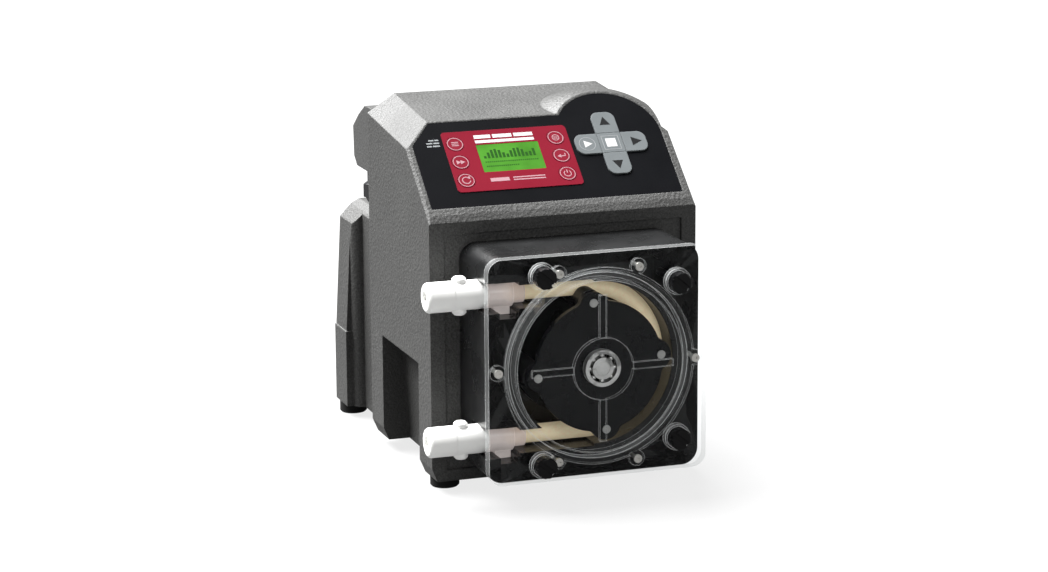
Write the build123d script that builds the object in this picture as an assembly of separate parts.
from build123d import *
import math
import os

# Peristaltic metering pump, in millimetres.
# Working frame: x = 0 and z = AXIS_Z is the rotor's axis, y = 0 is the front face of the clear cover
# plate, +y runs to the rear and z = 0 is the floor. write_parts() moves everything so that the
# origin lies under the middle of the whole pump.

# ---- driving dimensions ----
AXIS_Z = 100.0

# enclosure
CASE_X = -2.2                 # middle of the enclosure, a little left of the rotor
CASE_HALF = 100.0
CASE_FRONT = 63.0
CASE_SPLIT = 205.0            # joint between the front and the rear housing
CASE_REAR = 212.0
CASE_BOTTOM = 8.5
CASE_WALL = 4.0
LIP_Z = 195.2                 # top of the upright front face
PANEL_Y = 67.1                # lower edge of the sloping control panel
PANEL_Z = 199.8
PANEL_TILT = 50.0             # degrees, leaning back from upright
PANEL_LENGTH = 85.7
PANEL_HALF = 98.2             # the panel's plane meets its side bevels here
PANEL_WALL = 5.0
TOP_HALF = 79.1               # half width of the flat top
TOP_RISE = 6.5                # degrees, top face rising to the rear
SHOULDER_DROP = 13.4          # height of the bevel beside the flat top
SHOULDER_SLOPE = math.tan(math.radians(TOP_RISE))

# round bulge behind the arrow keys
BULGE_X = 52.0
BULGE_S = 62.8
BULGE_R = 41.2
BALL_R = 76.8
BALL_CENTRE = (BULGE_X, 156.9, 191.0)

# hand recess in each side
RECESS_Y = (92.7, 182.5)
RECESS_TOP = 88.8
RECESS_DEPTH_TOP = 15.0
RECESS_DEPTH_BOTTOM = 20.0

# front frame around the pump head
FRAME_BORDER = 11.0
FRAME_TOP = 186.6
FRAME_DEPTH = 2.0

# membrane panel, in panel coordinates: u across, s up the slope, w out of it
OVERLAY_U = (-97.2, 91.4)     # left and right edges of the membrane at its foot
OVERLAY_INSET = 1.4           # margin along the top
OVERLAY_DEPTH = 1.0
OVERLAY_SHOULDER_S = 64.4     # where the membrane's left corner is cut off
OVERLAY_BOTTOM = 6.0
LABEL_U = (-74.3, 20.0)
LABEL_S = (19.2, 74.6)
LABEL_THICK = 0.4
LCD_U = (-50.8, -4.2)
LCD_S = (36.0, 61.3)
ROUND_KEY_U = (-65.8, 10.1)
ROUND_KEY_S = (63.3, 46.5, 29.7)
ROUND_KEY_R = 6.3
ROUND_KEY_TOP = 0.45
PAD_U = 50.4
PAD_S = 54.8
PAD_HALF_U = 27.2             # reach of the sideways keys
PAD_HALF_S = 28.8             # reach of the up and down keys
PAD_ARM = 9.0                 # half width of an arrow key
KEY_GAP = 0.3
KEY_DEPTH = 1.3
KEY_POCKET = 3.2
KEY_CORNER = 6.0
DOME_R = 4.5
DOME_THICK = 0.5

# rear housing: waist, legs and the hood over the terminals
WAIST_HALF = 86.0
WAIST_TOP = 166.0
LEG_HALF = 100.2
LEG_Y = (287.0, 316.0)
LEG_TOE = 68.0                # height of the thicker foot of each leg
REAR_WALL = 3.5
HOOD_HALF = 93.0
HOOD_BOTTOM = 201.5
HOOD_WALL = 3.0
GLAND_Y = 255.5
GLAND_X = (-83.2, 78.8)
GLAND_BORE = 4.0

# rubber feet
FOOT_R = 10.5
FOOT_HOLE_R = 3.5
FOOT_STEM_R = 3.4
FOOT_STEM = 3.4
FOOT_INSET_FRONT = 15.5
FOOT_INSET_REAR = 11.0
FOOT_FRONT_Y = 83.0
FOOT_REAR_Y = 303.0

# pump head
PLATE_W = 161.0
PLATE_H = 160.0
PLATE_T = 8.0
PLATE_CORNER = 10.0
HEAD_X = (-80.0, 77.5)
HEAD_CORNER = 12.0
HEAD_REAR = 65.0
TUBE_R = 6.35                 # half-inch tube
TUBE_BEND = 51.5
TUBE_Y = 27.0
TRACK_R = TUBE_BEND + TUBE_R + 0.35
CHAMBER_FLOOR = 58.0
ROTOR_PHASE = 5.9             # degrees, anticlockwise seen from the front
PIN_CIRCLE = 45.7
PIN_R = 3.0
SQUEEZE_R = 9.0
GUIDE_CORE_R = 5.5
GUIDE_FLANGE_R = 8.0
ROLLER_Y = (3.5, 50.0)
PLATE_FRONT_Y = (-2.5, 2.5)
PLATE_REAR_Y = (51.0, 56.0)
ROTOR_DISC_R = 46.5
ROTOR_LOBE_R = 10.5
ROTOR_LOBE_CIRCLE = 42.7
ROTOR_FILLET = 5.0
ROTOR_HUB_R = 17.0
SHAFT_R = 7.0
JOURNAL_R = 5.0
RUNNING = 0.05                # radial running clearance

# clear dome in the cover plate
DOME_HOLE_R = 66.2
DOME_WALL_R = 66.0
DOME_INNER_R = 62.0
DOME_FACE_R = 61.0
DOME_FLANGE_R = 70.0
DOME_EAR_R = 5.6
DOME_FLANGE_T = 3.0
DOME_FACE_Y = -7.0
DOME_INSIDE_Y = -4.2
RIB_TOP_Y = -9.5
RIB_WIDTH = 5.0
RIB_OUTER = 52.0
HUB_R = 22.0
HUB_Y = -11.0
BEARING_Y = (-9.2, -3.2)
BEARING_R = 13.0
DOME_SCREWS = ((70.5, 0.5), (28.5, 69.0), (-30.0, 68.0), (-74.8, 1.5), (-31.0, -65.4), (27.5, -68.5))
DOME_SCREW_SEAT = 3.3         # radius of the flat round each screw head
THUMB_SCREWS = {"upper_left": (-42.0, 67.0), "upper_right": (57.5, 56.0),
                "lower_left": (-42.0, -67.0), "lower_right": (57.5, -56.0)}
KNOB_R = 7.5
KNOB_Y = (-12.5, -0.4)
KNOB_FLUTES = 8
KNOB_SLOT = (3.2, 3.5)        # width, depth
BOSS_R = (7.9, 9.4)           # inner and outer radius of the clear collar round each knob
BOSS_Y = -4.5
STUD_R = 3.0
STUD_END = 30.0

# tube connections
FITTING_X = (-117.3, -74.0)
FITTING_R = 10.65
FITTING_BORE = 5.0
SPIGOT_END = -98.0            # the hose end is this long, and a little thicker than the rest
SPIGOT_STEP = 0.3
LUG_X = -92.5
LUG_R = 5.0
LUG_REACH = 13.4
ADAPTER_X = -56.0
ADAPTER_R = 10.3
ADAPTER_TAB = (-69.0, -57.5)   # locking tab under each adapter
ADAPTER_TAB_DROP = 14.5
NECK_X = -47.0
NECK_R = 8.0

# drive
DRIVE_PLATE_Y = (69.0, 74.0)
GEARBOX_Y = (74.0, 118.0)
GEARBOX_COVER_Y = (118.0, 122.0)
MOTOR_Y = (122.0, 198.0)
MOTOR_R = 31.0
STAGE_2 = (1.0, 60, 18)       # module, output gear teeth, idler pinion teeth
STAGE_1 = (0.8, 64, 16)       # module, idler gear teeth, motor pinion teeth
IDLER_DROP = STAGE_2[0] * (STAGE_2[1] + STAGE_2[2]) / 2
MOTOR_DROP = IDLER_DROP - STAGE_1[0] * (STAGE_1[1] + STAGE_1[2]) / 2
LAYER_A = (80.0, 90.0)
LAYER_B = (96.0, 104.0)
HEAD_BOLT = 64.0
BOARD_Z = 150.0
BOARD_HALF = 76.0
BOARD_Y = (84.0, 196.0)
BOARD_THICK = 1.6


# ---- helpers ----
def block(x, y, z):
    """Box from three (low, high) pairs."""
    size = [pair[1] - pair[0] for pair in (x, y, z)]
    middle = [(pair[1] + pair[0]) / 2 for pair in (x, y, z)]
    return Pos(*middle) * Box(*size)


def rod_y(x, z, radius, y):
    """Cylinder along y; z is measured from the rotor's axis."""
    middle = Pos(x, (y[0] + y[1]) / 2, AXIS_Z + z)
    return middle * Rot(90, 0, 0) * Cylinder(radius, y[1] - y[0])


def ring_y(x, z, outer, inner, y):
    return rod_y(x, z, outer, y) - rod_y(x, z, inner, (y[0] - 1, y[1] + 1))


def rod_x(y, z, radius, x):
    """Cylinder along x; z is measured from the rotor's axis."""
    middle = Pos((x[0] + x[1]) / 2, y, AXIS_Z + z)
    return middle * Rot(0, 90, 0) * Cylinder(radius, x[1] - x[0])


def rod_z(x, y, radius, z):
    return Pos(x, y, (z[0] + z[1]) / 2) * Cylinder(radius, z[1] - z[0])


def prism_x(points, x):
    """Polygon of (y, z) points, extruded between two x values."""
    side = Plane(origin=(x[0], 0, 0), x_dir=(0, 1, 0), z_dir=(1, 0, 0))
    return extrude(side * make_face(Polyline(points, close=True)), x[1] - x[0])


def prism_y(points, y):
    """Polygon of (x, z) points, extruded between two y values."""
    front = Plane(origin=(0, y[0], 0), x_dir=(1, 0, 0), z_dir=(0, -1, 0))
    return extrude(front * make_face(Polyline(points, close=True)), y[0] - y[1])


def on_circle(radius, degrees):
    angle = math.radians(degrees)
    return radius * math.cos(angle), radius * math.sin(angle)


def mirrored(shape):
    """The same shape on the other side of the enclosure's middle plane."""
    return mirror(shape, about=Plane(origin=(CASE_X, 0, 0), x_dir=(0, 1, 0), z_dir=(1, 0, 0)))


def both_sides(shape):
    return shape + mirrored(shape)


TILT = math.radians(PANEL_TILT)
PANEL = Plane(origin=(0, PANEL_Y, PANEL_Z), x_dir=(1, 0, 0), z_dir=(0, -math.cos(TILT), math.sin(TILT)))


def on_panel(shape):
    return PANEL.location * shape


def panel_point(s):
    """(y, z) of a point s up the panel."""
    return PANEL_Y + s * math.sin(TILT), PANEL_Z + s * math.cos(TILT)


def slab(sketch, w):
    """Panel sketch between two heights w, placed on the pump."""
    return on_panel(Pos(0, 0, w[0]) * extrude(sketch, w[1] - w[0]))


# ---- enclosure ----
def side_profile(rear):
    top_y, top_z = panel_point(PANEL_LENGTH)
    rear_z = top_z + (rear - top_y) * SHOULDER_SLOPE
    return [(CASE_FRONT, CASE_BOTTOM), (CASE_FRONT, LIP_Z), (PANEL_Y, PANEL_Z),
            (top_y, top_z), (rear, rear_z), (rear, CASE_BOTTOM)]


def case_solid(inset, rear):
    """The enclosure's outer shape, shrunk by inset on every face."""
    outline = offset(make_face(Polyline(side_profile(rear), close=True)), -inset,
                     kind=Kind.INTERSECTION) if inset else make_face(Polyline(side_profile(rear), close=True))
    half = CASE_HALF - inset
    side = Plane(origin=(CASE_X - half, 0, 0), x_dir=(0, 1, 0), z_dir=(1, 0, 0))
    body = extrude(side * outline, 2 * half)

    top_y, top_z = panel_point(PANEL_LENGTH)
    high = top_z - top_y * SHOULDER_SLOPE - inset
    low = high - SHOULDER_DROP
    top_half = TOP_HALF - inset * 0.6
    shoulders = [(-half, -100), (-half, low), (-top_half, high), (top_half, high),
                 (half, low), (half, -100)]
    front = Plane(origin=(CASE_X, 0, 0), x_dir=(1, 0, 0), z_dir=(0, -1, 0))
    sketch = front * make_face(Polyline(shoulders, close=True))
    body = body & extrude(sketch, 400, dir=(0, 1, SHOULDER_SLOPE))

    bottom = CASE_BOTTOM + inset
    base = [(-half, 300), (-half, bottom + 9.5), (-half + 4, bottom), (half - 4, bottom),
            (half, bottom + 9.5), (half, 300)]
    shifted = [(CASE_X + x, z) for x, z in base]
    return body & prism_y(shifted, (0, 400))


def panel_edge_bevels():
    """Bevel along both side edges of the panel."""
    edge = CASE_X - PANEL_HALF
    wedge = make_face(Polyline([(edge, 0), (edge - 6, -6), (edge - 6, 2), (edge, 2)], close=True))
    across = Plane(origin=(0, -12, 0), x_dir=(1, 0, 0), z_dir=(0, -1, 0))
    bevel = on_panel(extrude(across * wedge, -(12 + PANEL_LENGTH - 18)))
    return both_sides(bevel)


def bulge(inset):
    """Part of a ball behind the round end of the panel, standing out of the top."""
    ball = Pos(*BALL_CENTRE) * Sphere(BALL_R - inset)
    ball &= on_panel(block((-300, 300), (-300, 300), (-300, -inset)))
    side = BULGE_X + BULGE_R - inset
    return ball & block((-100, side), (CASE_FRONT + 20, CASE_SPLIT + 20), (210, 300))


def overlay_outline(gap):
    """Outline of the membrane, shrunk by gap: a bevelled rectangle joined to the round end of the bulge."""
    left, right = OVERLAY_U[0] + gap, OVERLAY_U[1] - gap
    low = OVERLAY_BOTTOM + gap
    high = PANEL_LENGTH - OVERLAY_INSET - gap
    radius = BULGE_R - OVERLAY_INSET - gap
    shoulder = CASE_X - TOP_HALF + OVERLAY_INSET / 2
    sheet = make_face(Polyline([(left, low), (left, OVERLAY_SHOULDER_S), (shoulder, high), (BULGE_X, high),
                                (BULGE_X + radius, BULGE_S), (right, low)], close=True))
    return sheet + Pos(BULGE_X, BULGE_S) * Circle(radius)


def pad_reach(direction):
    return PAD_HALF_U if direction % 180 == 0 else PAD_HALF_S


def pad_arm(direction):
    """One arm of the arrow pad, as a sketch, pointing along direction in degrees."""
    reach = pad_reach(direction)
    length = reach - PAD_ARM - KEY_GAP
    arm = Pos(PAD_ARM + KEY_GAP + length / 2, 0) * Rectangle(length, 2 * PAD_ARM)
    outer = arm.vertices().filter_by(lambda v: v.X > reach - 1)
    arm = fillet(outer, KEY_CORNER)
    return Pos(PAD_U, PAD_S) * Rot(0, 0, direction) * arm


def pad_centre():
    return Pos(PAD_U, PAD_S) * Rectangle(2 * PAD_ARM, 2 * PAD_ARM)


def pad_opening(gap):
    arms = RectangleRounded(2 * (PAD_HALF_U + gap), 2 * (PAD_ARM + gap), KEY_CORNER)
    arms += RectangleRounded(2 * (PAD_ARM + gap), 2 * (PAD_HALF_S + gap), KEY_CORNER)
    return Pos(PAD_U, PAD_S) * arms


def round_key_places():
    names = {}
    for column, u in zip(("left", "right"), ROUND_KEY_U):
        for row, s in zip(("upper", "middle", "lower"), ROUND_KEY_S):
            names["key_" + column + "_" + row] = (u, s)
    return names


def round_openings(gap):
    shape = Sketch()
    for u, s in round_key_places().values():
        shape += Pos(u, s) * Circle(ROUND_KEY_R + gap)
    return shape


def centred_rect(u, s, grow=0.0):
    middle = Pos((u[0] + u[1]) / 2, (s[0] + s[1]) / 2)
    return middle * Rectangle(u[1] - u[0] + 2 * grow, s[1] - s[0] + 2 * grow)


def recess_prism(grow):
    """Space of the left hand recess, open at the side and the bottom."""
    edge = CASE_X - CASE_HALF
    top = RECESS_TOP + grow
    floor = CASE_BOTTOM - 1 if grow == 0 else CASE_BOTTOM + 1
    outer = edge - 5 if grow == 0 else edge + 2
    points = [(outer, floor), (edge + RECESS_DEPTH_BOTTOM + grow, floor),
              (edge + RECESS_DEPTH_TOP + grow, top), (outer, top)]
    return prism_y(points, (RECESS_Y[0] - grow, RECESS_Y[1] + grow))


def head_bolt_places():
    return [(x, z) for x in (-HEAD_BOLT, HEAD_BOLT) for z in (-HEAD_BOLT, HEAD_BOLT)]


def front_housing():
    outer = case_solid(0, CASE_REAR) + bulge(0)
    shell = outer & block((-300, 300), (0, CASE_SPLIT), (0, 400))
    shell -= panel_edge_bevels()
    cavity = case_solid(CASE_WALL + 1, CASE_REAR + 20)
    cavity += bulge(CASE_WALL + 1)
    cavity &= on_panel(block((-300, 300), (-400, 400), (-400, -PANEL_WALL)))
    shell -= cavity
    shell += both_sides(recess_prism(CASE_WALL) & outer)
    shell &= block((-300, 300), (0, CASE_SPLIT), (0, 400))
    shell -= both_sides(recess_prism(0))
    left = CASE_X - CASE_HALF + FRAME_BORDER
    right = CASE_X + CASE_HALF - FRAME_BORDER
    shell -= block((left, right), (CASE_FRONT - 1, CASE_FRONT + FRAME_DEPTH), (CASE_BOTTOM + 8, FRAME_TOP))
    shell -= rod_y(0, 0, 16, (CASE_FRONT - 5, 80))
    for x, z in head_bolt_places():
        shell -= rod_y(x, z, STUD_R, (CASE_FRONT - 5, 80))
    shell -= slab(overlay_outline(0), (-OVERLAY_DEPTH, 5))
    shell -= slab(pad_opening(KEY_GAP) + round_openings(KEY_GAP), (-KEY_POCKET, 5))
    shell -= slab(centred_rect(LCD_U, LCD_S), (-20, 5))
    rail = block((CASE_X - CASE_HALF + 1, CASE_X - BOARD_HALF + 5), BOARD_Y, (BOARD_Z - 3, BOARD_Z))
    shell += both_sides(rail)
    for x, y in foot_places()[:2]:
        shell -= rod_z(x, y, FOOT_HOLE_R, (0, 30))
    return shell


def leg_outline():
    """Front view of the left leg and waist, as (x, z) points."""
    return [(CASE_X, CASE_BOTTOM), (-LEG_HALF, CASE_BOTTOM), (-LEG_HALF, LEG_TOE), (-95.5, 153.0),
            (-86.5, 162.5), (-80.0, WAIST_TOP), (CASE_X, WAIST_TOP)]


def rear_housing():
    plate = case_solid(0, CASE_REAR) & block((-300, 300), (CASE_SPLIT, CASE_REAR), (0, 400))
    waist_x = CASE_X - WAIST_HALF
    fillet_r = 8.0
    plan = Polyline((waist_x, LEG_Y[0] - fillet_r), (waist_x, CASE_REAR), (CASE_X, CASE_REAR),
                    (CASE_X, LEG_Y[1]), (-104, LEG_Y[1]), (-104, LEG_Y[0]), (waist_x - fillet_r, LEG_Y[0]))
    corner = RadiusArc((waist_x - fillet_r, LEG_Y[0]), (waist_x, LEG_Y[0] - fillet_r), -fillet_r)
    tower = extrude(make_face([*plan.edges(), *corner.edges()]), 300)
    tower &= prism_y(leg_outline(), (CASE_REAR - 1, LEG_Y[1] + 1))
    toe = block((-LEG_HALF - 1, -78), (LEG_Y[0] - 2, LEG_Y[1]), (CASE_BOTTOM, LEG_TOE))
    room = block((waist_x + REAR_WALL, CASE_X), (CASE_REAR - 1, LEG_Y[1] - REAR_WALL),
                 (CASE_BOTTOM + REAR_WALL, WAIST_TOP - REAR_WALL))
    tower = both_sides(tower + toe - room)
    window = block((waist_x + 8, 2 * CASE_X - waist_x - 8), (CASE_SPLIT - 1, CASE_REAR + 1),
                   (CASE_BOTTOM + 8, WAIST_TOP - 8))
    shape = plate - window + tower
    shape -= block((-20, 20), (CASE_SPLIT - 1, CASE_REAR + 1), (212, 232))
    for x, y in foot_places()[2:]:
        shape -= rod_z(x, y, FOOT_HOLE_R, (0, 2 * CASE_BOTTOM))
    for x, z in housing_screw_places():
        shape -= rod_y(x, z, 2.5, (CASE_SPLIT - 1, CASE_REAR + 1))
    return shape


def hood_profile(inset):
    """Side view of the hood, as (y, z) points; the inner one runs on through the rear housing's face."""
    front = CASE_REAR - (5 if inset else 0)
    slope = 0.4 * inset
    return [(front, HOOD_BOTTOM + inset), (266.5 - inset, HOOD_BOTTOM + inset), (274 - inset, 208 + slope),
            (275.5 - inset, 230.5 - slope), (260 - slope, 241.5 - inset), (243 - slope, 250.5 - inset),
            (front, 250.5 - inset)]


def terminal_hood():
    shell = prism_x(hood_profile(0), (CASE_X - HOOD_HALF, CASE_X + HOOD_HALF))
    inner = prism_x(hood_profile(HOOD_WALL), (CASE_X - HOOD_HALF + HOOD_WALL, CASE_X + HOOD_HALF - HOOD_WALL))
    shell -= inner
    for x in GLAND_X:
        shell -= rod_z(x, GLAND_Y, 7, (HOOD_BOTTOM - 1, HOOD_BOTTOM + HOOD_WALL + 1))
    return shell


def cable_glands():
    """Two glands under the hood, each with its lock nut inside."""
    group = []
    for x in GLAND_X:
        body = rod_z(x, GLAND_Y, 7, (189, HOOD_BOTTOM + 10))
        nut = extrude(Pos(x, GLAND_Y, HOOD_BOTTOM + HOOD_WALL) * RegularPolygon(8.4, 6), 4)
        cap = extrude(Pos(x, GLAND_Y, 179) * RegularPolygon(10.5, 6), 10)
        nose = Pos(x, GLAND_Y, 177) * Cone(7, 9, 4)
        bore = rod_z(x, GLAND_Y, GLAND_BORE, (170, 230))
        group.append(body + nut + cap + nose - bore)
    return group


def foot_places():
    rows = ((FOOT_FRONT_Y, FOOT_INSET_FRONT), (FOOT_REAR_Y, FOOT_INSET_REAR))
    return [(CASE_X + side * (CASE_HALF - inset), y) for y, inset in rows for side in (-1, 1)]


def rubber_feet():
    """Four feet, each with a push-in stem."""
    group = []
    for x, y in foot_places():
        pad = rod_z(x, y, FOOT_R, (0, CASE_BOTTOM))
        pad = chamfer(pad.edges().group_by(Axis.Z)[0], 1.2)
        stem = rod_z(x, y, FOOT_STEM_R, (CASE_BOTTOM, CASE_BOTTOM + FOOT_STEM))
        group.append(pad + stem)
    return group


def housing_screw_places():
    return [(CASE_X + side * 92, z) for side in (-1, 1) for z in (-78, 0, 78)]


def housing_screws():
    group = []
    for x, z in housing_screw_places():
        head = rod_y(x, z, 4.2, (CASE_REAR, CASE_REAR + 3))
        socket = rod_y(x, z, 1.8, (CASE_REAR + 1, CASE_REAR + 4))
        shank = rod_y(x, z, 2.5, (CASE_SPLIT, CASE_REAR))
        group.append(head + shank - socket)
    return group


# ---- control panel ----
def panel_overlay():
    sheet = overlay_outline(0.1)
    sheet -= pad_opening(KEY_GAP) + round_openings(KEY_GAP) + centred_rect(LCD_U, LCD_S, 0.0)
    return slab(sheet, (-OVERLAY_DEPTH, -0.1))


def label_plate():
    middle = Pos(sum(LABEL_U) / 2, sum(LABEL_S) / 2)
    sheet = middle * RectangleRounded(LABEL_U[1] - LABEL_U[0], LABEL_S[1] - LABEL_S[0], 3)
    sheet -= round_openings(KEY_GAP) + centred_rect(LCD_U, LCD_S)
    return slab(sheet, (-0.1, LABEL_THICK - 0.1))


def display_window():
    return slab(centred_rect(LCD_U, LCD_S), (-3.0, 0.2))


def display_module():
    glass = slab(centred_rect(LCD_U, LCD_S, 3), (-8.5, -5.2))
    frame = slab(centred_rect(LCD_U, LCD_S, 6), (-12.4, -8.5))
    return glass + frame


def panel_board():
    return slab(centred_rect((-80, 80), (14, 66)), (-14.0, -12.4))


def round_key(place):
    return slab(Pos(*place) * Circle(ROUND_KEY_R), (-KEY_DEPTH, ROUND_KEY_TOP))


def arrow_key(direction):
    return slab(pad_arm(direction), (-KEY_DEPTH, 1.0))


def stop_key():
    return slab(pad_centre(), (-KEY_DEPTH, 1.0))


def key_domes():
    """Snap domes under the keys, in the floor of each pocket."""
    places = list(round_key_places().values()) + [(PAD_U, PAD_S)]
    for direction in (0, 90, 180, 270):
        u, s = on_circle((PAD_ARM + pad_reach(direction)) / 2, direction)
        places.append((PAD_U + u, PAD_S + s))
    floor = -KEY_POCKET
    return [slab(Pos(*place) * Circle(DOME_R), (floor, floor + DOME_THICK)) for place in places]


# ---- electronics ----
def main_board():
    """Board that rests on two rails inside the front housing."""
    return block((CASE_X - BOARD_HALF, CASE_X + BOARD_HALF), BOARD_Y, (BOARD_Z, BOARD_Z + BOARD_THICK))


def board_components():
    """Transformer, capacitors, relay and terminal blocks on the main board."""
    top = BOARD_Z + BOARD_THICK
    group = [block((-60, -22), (140, 176), (top, top + 32))]
    group += [rod_z(x, 150, 8, (top, top + 25)) for x in (-4, 16)]
    group.append(block((30, 58), (120, 136), (top, top + 16)))
    group += [block((x, x + 22), (182, 194), (top, top + 12)) for x in (-50, -20, 10)]
    group.append(block((-30, 10), (100, 125), (top, top + 3)))
    return group


# ---- drive ----
def gear_sketch(module, teeth, phase, backlash=0.12):
    """Involute gear outline with one tooth centred on the phase angle."""
    pitch = module * teeth / 2
    pressure = math.radians(20)
    base = pitch * math.cos(pressure)
    root = pitch - 1.25 * module
    tip = pitch + 0.95 * module

    def involute(radius):
        alpha = math.acos(min(1.0, base / radius))
        return math.tan(alpha) - alpha

    def half_angle(radius):
        at_pitch = math.pi / (2 * teeth) - backlash / (2 * pitch)
        return at_pitch + involute(pitch) - involute(max(radius, base))

    start = max(root, base)
    radii = [start + (tip - start) * step / 4 for step in range(5)]
    flank = [(root, half_angle(start))] if root < base else []
    flank += [(radius, half_angle(radius)) for radius in radii]
    points = []
    for tooth in range(teeth):
        centre = math.radians(phase) + 2 * math.pi * tooth / teeth
        rising = [(radius, centre - angle) for radius, angle in flank]
        falling = [(radius, centre + angle) for radius, angle in reversed(flank)]
        points += [(r * math.cos(a), r * math.sin(a)) for r, a in rising + falling]
    return make_face(Polyline(points, close=True))


def gear_y(sketch, x, z, y):
    front = Plane(origin=(x, y[0], AXIS_Z + z), x_dir=(1, 0, 0), z_dir=(0, -1, 0))
    return extrude(front * sketch, y[0] - y[1])


def drive_plate():
    plate = block((-74, 74), DRIVE_PLATE_Y, (AXIS_Z - 74, AXIS_Z + 74))
    plate -= rod_y(0, 0, 12, (60, 80))
    for x, z in head_bolt_places():
        plate -= rod_y(x, z, STUD_R, (60, 80))
    return plate


def gearbox_case():
    width, low, high, wall = 40.0, -72.0, 38.0, 4.0
    case = block((-width, width), GEARBOX_Y, (AXIS_Z + low, AXIS_Z + high))
    case -= block((-width + wall, width - wall), (GEARBOX_Y[0] + wall, GEARBOX_Y[1] + 1),
                  (AXIS_Z + low + wall, AXIS_Z + high - wall))
    case -= rod_y(0, 0, 12, (70, 80))
    case -= rod_y(0, -IDLER_DROP, 4 + RUNNING, (70, 80))
    return case


def gearbox_cover():
    cover = block((-40, 40), GEARBOX_COVER_Y, (AXIS_Z - 72, AXIS_Z + 38))
    cover -= rod_y(0, -IDLER_DROP, 4 + RUNNING, (110, 130))
    cover -= rod_y(0, -MOTOR_DROP, 3 + RUNNING, (110, 130))
    return cover


def gearbox_bearing():
    """Bush that carries the drive shaft in the gearbox wall and the drive plate."""
    return ring_y(0, 0, 12, SHAFT_R + RUNNING, (DRIVE_PLATE_Y[0], 78))


def motor_case():
    body = rod_y(0, -MOTOR_DROP, MOTOR_R, MOTOR_Y)
    body -= rod_y(0, -MOTOR_DROP, MOTOR_R - 3, (MOTOR_Y[0] + 3, MOTOR_Y[1] - 3))
    return body - rod_y(0, -MOTOR_DROP, 3 + RUNNING, (MOTOR_Y[0] - 1, MOTOR_Y[1] + 1))


def motor_armature():
    """Motor shaft with its rotor and the first pinion."""
    shaft = rod_y(0, -MOTOR_DROP, 3, (LAYER_B[0], MOTOR_Y[1] - 0.5))
    magnets = rod_y(0, -MOTOR_DROP, 20, (MOTOR_Y[0] + 12, MOTOR_Y[1] - 14))
    pinion = gear_sketch(STAGE_1[0], STAGE_1[2], -90 + 180 / STAGE_1[2])
    return shaft + magnets + gear_y(pinion, 0, -MOTOR_DROP, LAYER_B)


def idler_gear():
    """Compound gear on its own axle."""
    axle = rod_y(0, -IDLER_DROP, 4, (GEARBOX_Y[0] + 0.5, GEARBOX_COVER_Y[1] - 0.5))
    pinion = gear_sketch(STAGE_2[0], STAGE_2[2], 90 + 180 / STAGE_2[2])
    wheel = gear_sketch(STAGE_1[0], STAGE_1[1], 90)
    return axle + gear_y(pinion, 0, -IDLER_DROP, LAYER_A) + gear_y(wheel, 0, -IDLER_DROP, LAYER_B)


def output_gear():
    wheel = gear_y(gear_sketch(STAGE_2[0], STAGE_2[1], -90), 0, 0, LAYER_A)
    return wheel - rod_y(0, 0, SHAFT_R, (70, 95))


def drive_shaft():
    main = rod_y(0, 0, SHAFT_R, (PLATE_FRONT_Y[0], LAYER_A[1] + 2))
    journal = rod_y(0, 0, JOURNAL_R, (BEARING_Y[0] + 0.3, PLATE_FRONT_Y[0]))
    return main + journal


def head_bolts():
    group = []
    for x, z in head_bolt_places():
        shank = rod_y(x, z, STUD_R, (46, DRIVE_PLATE_Y[1]))
        head = rod_y(x, z, 5, (DRIVE_PLATE_Y[1], DRIVE_PLATE_Y[1] + 5))
        socket = rod_y(x, z, 2.2, (DRIVE_PLATE_Y[1] + 2, DRIVE_PLATE_Y[1] + 6))
        group.append(head + shank - socket)
    return group


# ---- pump head ----
def channel(radius, x, z):
    """Slot along x for a round piece, open to the cover plate."""
    slot = rod_x(TUBE_Y, z, radius, x)
    return slot + block(x, (PLATE_T - 1, TUBE_Y), (AXIS_Z + z - radius, AXIS_Z + z + radius))


def head_housing():
    half_h = PLATE_H / 2
    body = block(HEAD_X, (PLATE_T, HEAD_REAR), (AXIS_Z - half_h, AXIS_Z + half_h))
    body = fillet(body.edges().filter_by(Axis.Y), HEAD_CORNER)
    body -= rod_y(0, 0, TRACK_R, (PLATE_T - 1, CHAMBER_FLOOR))
    for z in (TUBE_BEND, -TUBE_BEND):
        body -= channel(FITTING_R + 0.3, (-90, -73), z)
        body -= channel(ADAPTER_R + 0.4, (FITTING_X[1] - 1, ADAPTER_X + 1), z)
        body -= block((ADAPTER_TAB[0] - 0.4, ADAPTER_TAB[1] + 0.4), (PLATE_T - 1, TUBE_Y + 5.4),
                      (AXIS_Z + z - ADAPTER_TAB_DROP - 0.4, AXIS_Z + z))
        body -= channel(NECK_R + 0.3, (ADAPTER_X, 0), z)
    body -= rod_y(0, 0, SHAFT_R + 1, (50, 70))
    body -= rod_y(0, 0, 13, (59, 70))
    for x, z in THUMB_SCREWS.values():
        body -= rod_y(x, z, STUD_R + RUNNING, (0, STUD_END + 1))
    for x, z in head_bolt_places():
        body -= rod_y(x, z, STUD_R, (46, 70))
    return body


def shaft_seal():
    return ring_y(0, 0, 13, SHAFT_R + RUNNING, (59, HEAD_REAR))


def lobed_outline():
    """Rotor plate: a disc with a rounded lobe around each roller pin."""
    shape = Circle(ROTOR_DISC_R)
    for step in range(4):
        x, z = on_circle(ROTOR_LOBE_CIRCLE, ROTOR_PHASE + 90 * step)
        shape += Pos(x, z) * Circle(ROTOR_LOBE_R)
    joints = [v for v in shape.vertices() if math.hypot(v.X, v.Y) < ROTOR_DISC_R + 0.1]
    return fillet(joints, ROTOR_FILLET)


def pin_places():
    return [on_circle(PIN_CIRCLE, ROTOR_PHASE + 90 * step) for step in range(4)]


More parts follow.
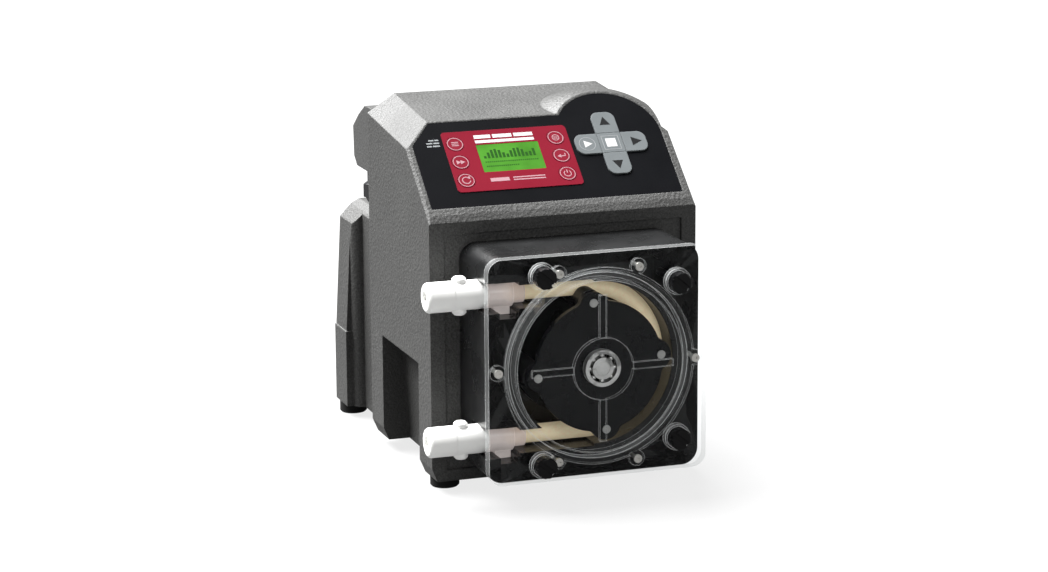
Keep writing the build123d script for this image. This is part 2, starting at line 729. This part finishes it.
def rotor_plate(y):
    front = Plane(origin=(0, y[0], AXIS_Z), x_dir=(1, 0, 0), z_dir=(0, -1, 0))
    plate = extrude(front * lobed_outline(), y[0] - y[1])
    for x, z in pin_places():
        plate -= rod_y(x, z, PIN_R, (y[0] - 1, y[1] + 1))
    return plate


def rotor_body():
    plate = rotor_plate(PLATE_REAR_Y)
    hub = rod_y(0, 0, ROTOR_HUB_R, (PLATE_FRONT_Y[1], PLATE_REAR_Y[1] + 1))
    return plate + hub - rod_y(0, 0, SHAFT_R, (-5, 70))


def rotor_front_plate():
    return rotor_plate(PLATE_FRONT_Y) - rod_y(0, 0, SHAFT_R, (-5, 70))


def roller_pins():
    return [rod_y(x, z, PIN_R, (PLATE_FRONT_Y[0] - 0.7, PLATE_REAR_Y[1])) for x, z in pin_places()]


def squeeze_roller(place):
    x, z = place
    return ring_y(x, z, SQUEEZE_R, PIN_R + RUNNING, ROLLER_Y)


def guide_roller(place):
    x, z = place
    spool = rod_y(x, z, GUIDE_CORE_R, ROLLER_Y)
    spool += rod_y(x, z, GUIDE_FLANGE_R, (ROLLER_Y[0], 17)) + rod_y(x, z, GUIDE_FLANGE_R, (37, ROLLER_Y[1]))
    return spool - rod_y(x, z, PIN_R + RUNNING, (0, 60))


def pump_tube():
    """Tube around the track, pressed in where the rollers bear on it."""
    end_x = NECK_X - 11
    upper, lower = AXIS_Z + TUBE_BEND, AXIS_Z - TUBE_BEND
    path = Line((end_x, TUBE_Y, upper), (0, TUBE_Y, upper))
    path += ThreePointArc((0, TUBE_Y, upper), (TUBE_BEND, TUBE_Y, AXIS_Z), (0, TUBE_Y, lower))
    path += Line((0, TUBE_Y, lower), (end_x, TUBE_Y, lower))
    start = Plane(origin=(end_x, TUBE_Y, upper), z_dir=(1, 0, 0))
    tube = sweep(start * Circle(TUBE_R), path=path)
    for place, radius in zip(pin_places(), (SQUEEZE_R, GUIDE_CORE_R, SQUEEZE_R, GUIDE_CORE_R)):
        tube -= rod_y(place[0], place[1], radius + 0.3, (0, 60))
    return tube


def tube_adapter(z):
    body = rod_x(TUBE_Y, z, ADAPTER_R, (FITTING_X[1], ADAPTER_X))
    body += rod_x(TUBE_Y, z, NECK_R, (ADAPTER_X, NECK_X))
    body += block(ADAPTER_TAB, (TUBE_Y - 5, TUBE_Y + 5), (AXIS_Z + z - ADAPTER_TAB_DROP, AXIS_Z + z))
    body -= rod_x(TUBE_Y, z, FITTING_BORE, (FITTING_X[1] - 1, NECK_X))
    return body - rod_x(TUBE_Y, z, TUBE_R + RUNNING, (NECK_X - 11.5, NECK_X + 1))


def fitting(z):
    """Pipe fitting with two finger lugs; its outer end takes the hose."""
    body = rod_x(TUBE_Y, z, FITTING_R, (FITTING_X[0], SPIGOT_END))
    body += rod_x(TUBE_Y, z, FITTING_R - SPIGOT_STEP, (SPIGOT_END, FITTING_X[1]))
    body = fillet(body.edges().group_by(Axis.X)[0], 2.8)
    body = fillet(body.edges().group_by(Axis.X)[-1], 2.0)
    lug = rod_z(LUG_X, TUBE_Y, LUG_R, (AXIS_Z + z - LUG_REACH, AXIS_Z + z + LUG_REACH))
    lug = chamfer(lug.edges(), 1.4)
    return body + lug - rod_x(TUBE_Y, z, FITTING_BORE, (-130, -70))


def cover_plate():
    outline = RectangleRounded(PLATE_W, PLATE_H, PLATE_CORNER)
    front = Plane(origin=(0, 0, AXIS_Z), x_dir=(1, 0, 0), z_dir=(0, -1, 0))
    plate = extrude(front * outline, -PLATE_T) - rod_y(0, 0, DOME_HOLE_R, (-1, PLATE_T + 1))
    for x, z in THUMB_SCREWS.values():
        plate += ring_y(x, z, BOSS_R[1], BOSS_R[0], (BOSS_Y, 1))
        plate -= rod_y(x, z, STUD_R + 2 * RUNNING, (-1, PLATE_T + 1))
    for x, z in DOME_SCREWS:
        plate -= rod_y(x, z, 1.6, (-1, PLATE_T + 1))
        plate -= rod_y(x, z, DOME_EAR_R + 0.3, (-20, 0))
    return plate


def cover_dome():
    """Moulded clear dome: flange, wall, face, cross ribs and bearing hub."""
    dome = ring_y(0, 0, DOME_FLANGE_R, DOME_INNER_R, (-DOME_FLANGE_T, 0))
    for x, z in DOME_SCREWS:
        dome += rod_y(x, z, DOME_EAR_R, (-DOME_FLANGE_T, 0))
    dome -= rod_y(0, 0, DOME_INNER_R, (-DOME_FLANGE_T - 1, 1))
    dome += ring_y(0, 0, DOME_WALL_R, DOME_INNER_R, (-DOME_FLANGE_T, PLATE_T - 0.5))
    rise = -DOME_FACE_Y - DOME_FLANGE_T
    bevel = Pos(0, DOME_FACE_Y + rise / 2, AXIS_Z) * Rot(90, 0, 0) * Cone(68.5, 64.0, rise)
    dome += bevel - rod_y(0, 0, DOME_FACE_R, (DOME_INSIDE_Y, 5))
    dome += rod_y(0, 0, HUB_R, (HUB_Y, DOME_INSIDE_Y))
    for angle in (0, 90):
        bar = Pos(0, (RIB_TOP_Y + DOME_INSIDE_Y) / 2, AXIS_Z) * Rot(0, angle, 0)
        dome += bar * Box(2 * RIB_OUTER, DOME_INSIDE_Y - RIB_TOP_Y, RIB_WIDTH)
    dome -= rod_y(0, 0, BEARING_R, (BEARING_Y[0], 0))
    for x, z in THUMB_SCREWS.values():
        dome -= rod_y(x, z, BOSS_R[1] + 0.2, (-20, 1))
    for x, z in DOME_SCREWS:
        dome -= rod_y(x, z, 1.6, (-20, 1))
        dome -= rod_y(x, z, DOME_SCREW_SEAT, (-20, -DOME_FLANGE_T))
    return dome


def dome_screws():
    group = []
    for x, z in DOME_SCREWS:
        head = rod_y(x, z, 3.0, (-DOME_FLANGE_T - 2, -DOME_FLANGE_T))
        shank = rod_y(x, z, 1.6, (-DOME_FLANGE_T, PLATE_T - 0.5))
        slot = rod_y(x, z, 1.3, (-DOME_FLANGE_T - 3, -DOME_FLANGE_T - 1))
        group.append(head + shank - slot)
    return group


def thumb_screw(place):
    """Fluted knob with a coin slot, on a stud that screws into the pump head."""
    x, z = place
    knob = chamfer(rod_y(x, z, KNOB_R, KNOB_Y).edges(), 0.8)
    for step in range(KNOB_FLUTES):
        fx, fz = on_circle(KNOB_R + 1.0, 360 / KNOB_FLUTES * step)
        knob -= rod_y(x + fx, z + fz, 1.6, (-20, 0))
    slot = Rot(0, 40, 0) * Box(3 * KNOB_R, 2 * KNOB_SLOT[1], KNOB_SLOT[0])
    knob -= Pos(x, KNOB_Y[0], AXIS_Z + z) * slot
    return knob + rod_y(x, z, STUD_R, (KNOB_Y[1], STUD_END))


def race_groove(radius):
    middle = sum(BEARING_Y) / 2
    return Pos(0, middle, AXIS_Z) * Rot(90, 0, 0) * Torus(9.0, radius)


def cover_bearing_outer():
    return ring_y(0, 0, BEARING_R, 10.2, BEARING_Y) - race_groove(2.05)


def cover_bearing_inner():
    return ring_y(0, 0, 7.8, JOURNAL_R + RUNNING, BEARING_Y) - race_groove(2.05)


def cover_bearing_balls():
    middle = sum(BEARING_Y) / 2
    places = [on_circle(9.0, 45 * step) for step in range(8)]
    return [Pos(x, middle, AXIS_Z + z) * Sphere(2.0) for x, z in places]


# ---- assembly ----
def build_nodes():
    """Every node's name with its solid or list of solids."""
    nodes = {
        "front_housing": front_housing(), "rear_housing": rear_housing(),
        "terminal_hood": terminal_hood(), "cable_glands": cable_glands(),
        "rubber_feet": rubber_feet(), "housing_screws": housing_screws(),
        "panel_overlay": panel_overlay(), "label_plate": label_plate(),
        "display_window": display_window(), "display_module": display_module(),
        "panel_board": panel_board(), "stop_key": stop_key(), "key_domes": key_domes(),
        "main_board": main_board(), "board_components": board_components(),
        "drive_plate": drive_plate(), "gearbox_case": gearbox_case(),
        "gearbox_cover": gearbox_cover(), "gearbox_bearing": gearbox_bearing(),
        "motor_case": motor_case(), "motor_armature": motor_armature(),
        "idler_gear": idler_gear(), "output_gear": output_gear(), "drive_shaft": drive_shaft(),
        "shaft_seal": shaft_seal(), "head_housing": head_housing(), "head_bolts": head_bolts(),
        "rotor_body": rotor_body(), "rotor_front_plate": rotor_front_plate(),
        "roller_pins": roller_pins(), "pump_tube": pump_tube(),
        "cover_plate": cover_plate(), "cover_dome": cover_dome(), "dome_screws": dome_screws(),
        "cover_bearing_outer": cover_bearing_outer(), "cover_bearing_inner": cover_bearing_inner(),
        "cover_bearing_balls": cover_bearing_balls(),
    }
    for name, direction in (("arrow_key_right", 0), ("arrow_key_up", 90), ("start_key", 180),
                            ("arrow_key_down", 270)):
        nodes[name] = arrow_key(direction)
    for name, place in round_key_places().items():
        nodes[name] = round_key(place)
    right, top, left, bottom = pin_places()
    nodes["squeeze_roller_right"] = squeeze_roller(right)
    nodes["squeeze_roller_left"] = squeeze_roller(left)
    nodes["guide_roller_top"] = guide_roller(top)
    nodes["guide_roller_bottom"] = guide_roller(bottom)
    for name, z in (("upper", TUBE_BEND), ("lower", -TUBE_BEND)):
        nodes["tube_adapter_" + name] = tube_adapter(z)
        nodes["fitting_" + name] = fitting(z)
    for name, place in THUMB_SCREWS.items():
        nodes["thumb_screw_" + name] = thumb_screw(place)
    return nodes


def solids_of(item):
    """A node's solids, whether it was built as one shape or as a list of shapes."""
    pieces = item if isinstance(item, list) else [item]
    return [solid for piece in pieces for solid in piece.solids()]


def origin_shift(groups):
    """Move that puts the origin under the middle of the whole pump, on the floor."""
    box = Compound([solid for solids in groups for solid in solids]).bounding_box()
    return Pos(-(box.min.X + box.max.X) / 2, -(box.min.Y + box.max.Y) / 2, 0)


def write_parts():
    os.makedirs("parts", exist_ok=True)
    nodes = {name: solids_of(item) for name, item in build_nodes().items()}
    shift = origin_shift(nodes.values())
    for name, solids in nodes.items():
        placed = [shift * solid for solid in solids]
        shape = placed[0] if len(placed) == 1 else Compound(placed)
        export_step(shape, "parts/" + name + ".step")
    print("nodes", len(nodes), "origin shift", shift.position)


write_parts()
